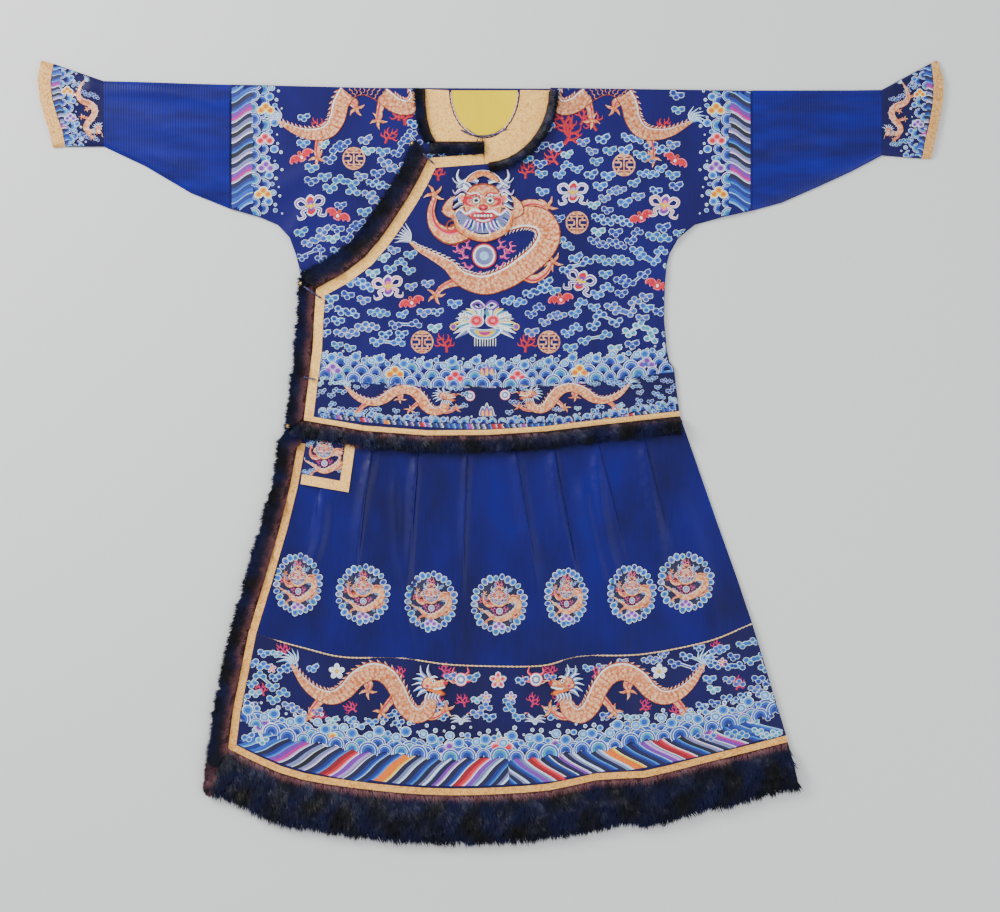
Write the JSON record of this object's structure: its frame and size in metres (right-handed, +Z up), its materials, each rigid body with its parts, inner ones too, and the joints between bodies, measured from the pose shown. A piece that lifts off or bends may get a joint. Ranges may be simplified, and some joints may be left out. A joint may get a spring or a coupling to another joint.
{
  "type": "court robe",
  "caption": "Fur-trimmed silk court robe laid flat: side-closing bodice, round collar, hoof-shaped cuffs, waistband, pleated skirt, gold brocade edges.",
  "frame": {"origin": "centre of the robe's outline, on the surface that it lies on", "axes": "+Z up from the surface, +Y from hem to collar, +X to the wearer's left sleeve"},
  "size_m": [1.7374, 1.4961, 0.0233],
  "materials": {
    "navy_silk": "embroidered silk satin",
    "blue_satin": "plain silk satin",
    "ribbed_silk": "ribbed silk",
    "yellow_silk": "silk lining",
    "gold_brocade": "gold-thread brocade",
    "dark_fur": "dyed fur",
    "dark_cord": "silk cord",
    "pale_cord": "silk cord",
    "gilt_button": "gilt, polished"
  },
  "bodies": {
    "root": {"back_bodice": "navy_silk", "back_skirt": "blue_satin", "back_border": "navy_silk", "neck_lining": "yellow_silk", "inner_front": "navy_silk", "outer_front": "navy_silk", "waistband": "navy_silk", "skirt_front": "blue_satin", "border_front": "navy_silk", "border_cord": "gold_brocade", "right_sleeve": "ribbed_silk", "left_sleeve": "ribbed_silk", "right_cuff": "navy_silk", "left_cuff": "navy_silk", "right_cuff_trim": "gold_brocade", "left_cuff_trim": "gold_brocade", "inner_collar": "gold_brocade", "outer_collar": "gold_brocade", "neck_cord": "pale_cord", "collar_trim": "gold_brocade", "overlap_trim": "gold_brocade", "side_trim": "gold_brocade", "waist_trim": "gold_brocade", "skirt_side_trim": "gold_brocade", "hem_trim": "gold_brocade", "side_patch": "navy_silk", "side_patch_trim_left": "gold_brocade", "side_patch_trim_hem": "gold_brocade", "collar_fur_side": "dark_fur", "collar_fur_front": "dark_fur", "collar_fur_outer": "dark_fur", "overlap_fur": "dark_fur", "side_fur": "dark_fur", "waist_fur": "dark_fur", "skirt_side_fur": "dark_fur", "hem_fur": "dark_fur", "collar_button": "gilt_button", "overlap_button": "gilt_button", "armpit_button": "gilt_button", "waist_button": "gilt_button", "overlap_loop": "dark_cord", "armpit_loop": "dark_cord", "waist_loop": "dark_cord"}
  },
  "joints": []
}
